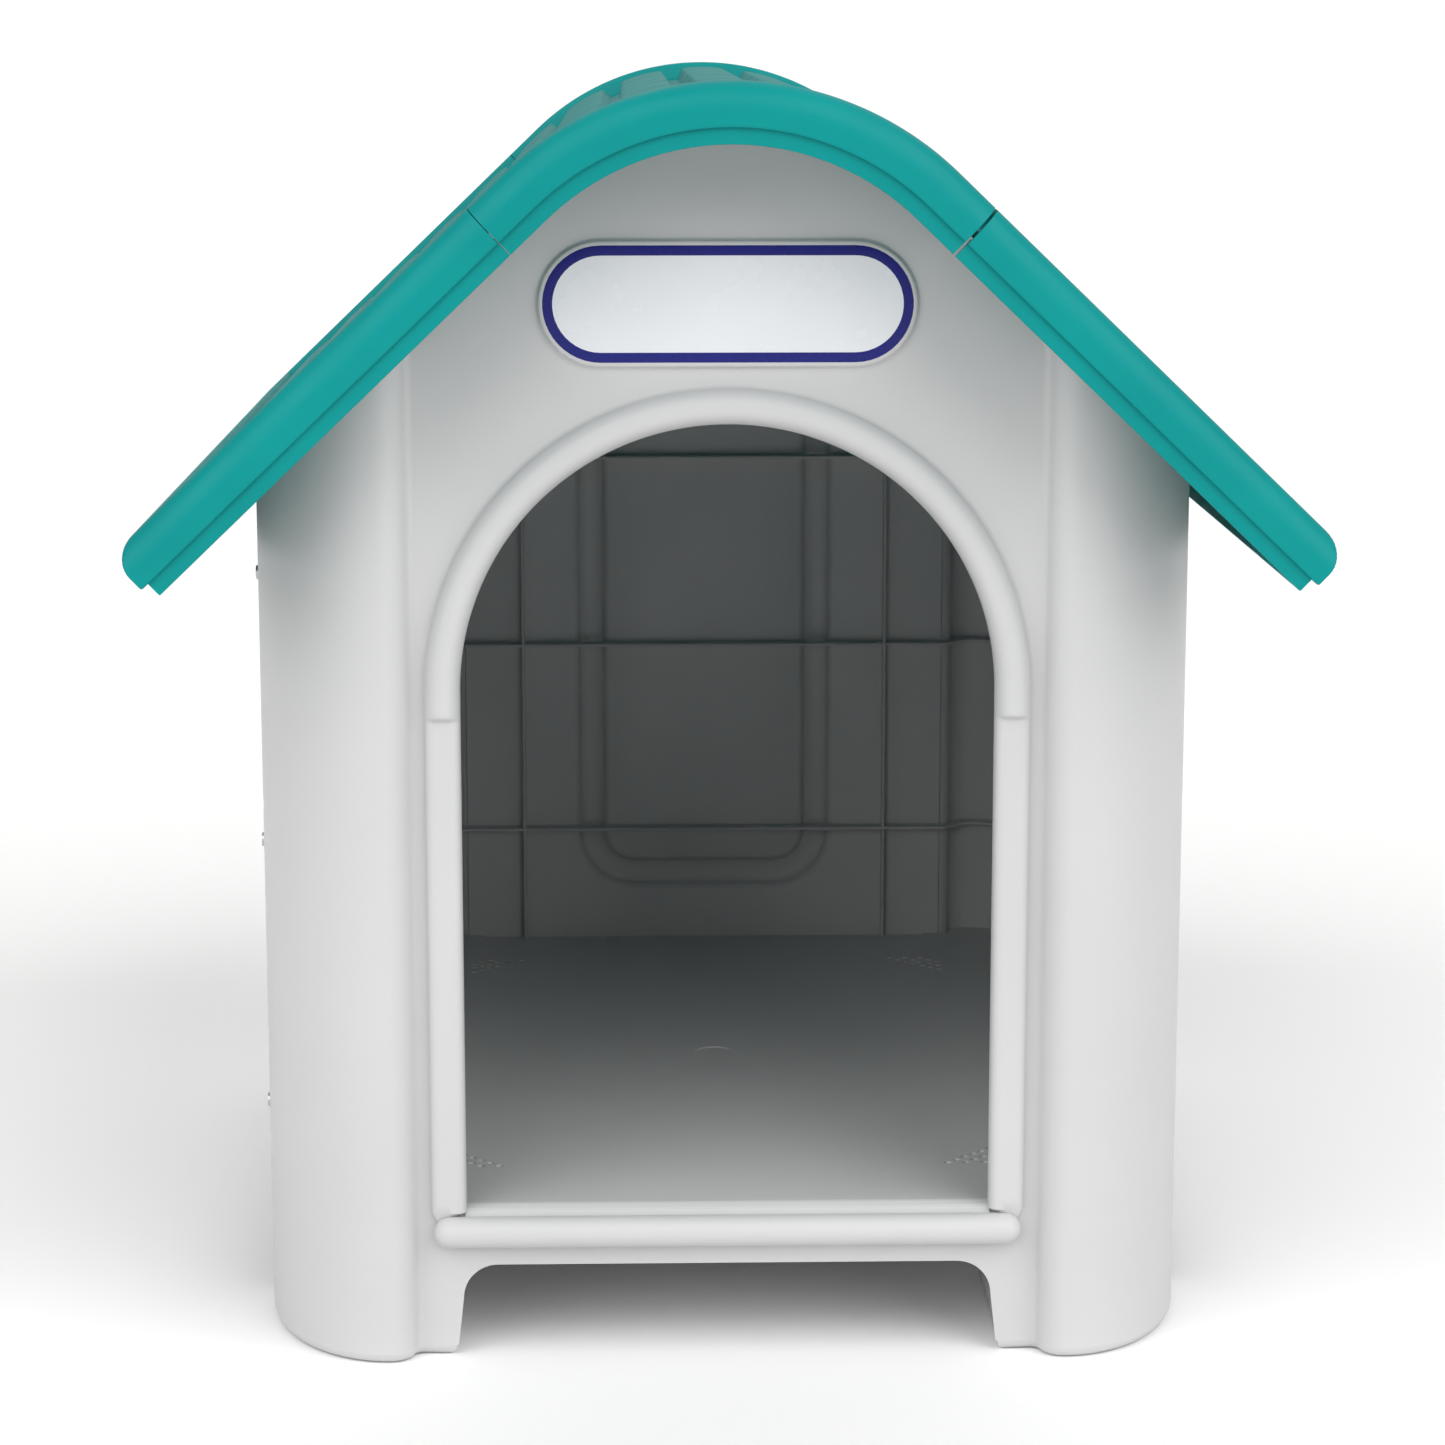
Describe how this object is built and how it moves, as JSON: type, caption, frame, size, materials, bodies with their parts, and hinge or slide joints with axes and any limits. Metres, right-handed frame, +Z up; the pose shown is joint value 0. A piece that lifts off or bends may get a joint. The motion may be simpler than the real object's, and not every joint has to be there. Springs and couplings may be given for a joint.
{
  "type": "moulded plastic animal house",
  "caption": "Small plastic outdoor animal house with an arched doorway, rounded corner columns, a raised floor and a lift-off tiled gable roof.",
  "frame": {"origin": "on the ground, midway between the columns and midway between the front and rear roof rims", "axes": "+Z up; +Y from the doorway towards the rear wall; +X to the right seen from the front"},
  "size_m": [0.59, 0.75, 0.6599],
  "materials": {
    "shell_plastic": "light grey polypropylene, fine satin",
    "roof_plastic": "teal polypropylene, semi-gloss",
    "label_film": "printed film, white inside a navy line",
    "screw_steel": "zinc-plated"
  },
  "bodies": {
    "house": {"floor_panel": "shell_plastic", "front_wall": "shell_plastic", "rear_wall": "shell_plastic", "left_wall": "shell_plastic", "right_wall": "shell_plastic", "name_label": "label_film", "screws_front_left": "screw_steel", "screws_front_right": "screw_steel", "screws_rear_left": "screw_steel", "screws_rear_right": "screw_steel"},
    "roof": {"roof_ridge": "roof_plastic", "roof_left": "roof_plastic", "roof_right": "roof_plastic", "screws_seam_left": "screw_steel", "screws_seam_right": "screw_steel"}
  },
  "joints": [
    {"name": "roof_lift", "type": "slide", "parent": "house", "child": "roof", "axis": [0, 0, 1], "range_m": [0, 0.26]}
  ]
}
